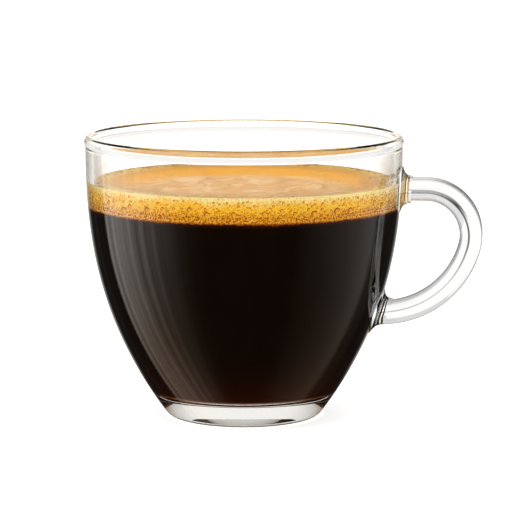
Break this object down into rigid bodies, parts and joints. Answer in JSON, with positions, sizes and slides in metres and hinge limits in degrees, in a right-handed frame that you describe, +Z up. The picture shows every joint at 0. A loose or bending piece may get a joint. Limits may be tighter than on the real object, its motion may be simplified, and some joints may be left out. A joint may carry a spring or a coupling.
{
  "type": "double espresso",
  "caption": "Double espresso: black coffee under a thick, bubbly golden crema, in a clear tapered glass cup with a D-shaped glass handle.",
  "frame": {"origin": "centre of the foot, on the surface the cup stands on", "axes": "+Z up along the cup's axis, +X towards the handle"},
  "size_m": [0.0748, 0.06, 0.0532],
  "materials": {
    "glass": "clear, fire polished",
    "coffee": "near-black liquid",
    "crema": "fine golden foam"
  },
  "bodies": {
    "root": {"glass_cup": "glass", "coffee": "coffee", "crema": "crema"}
  },
  "joints": []
}
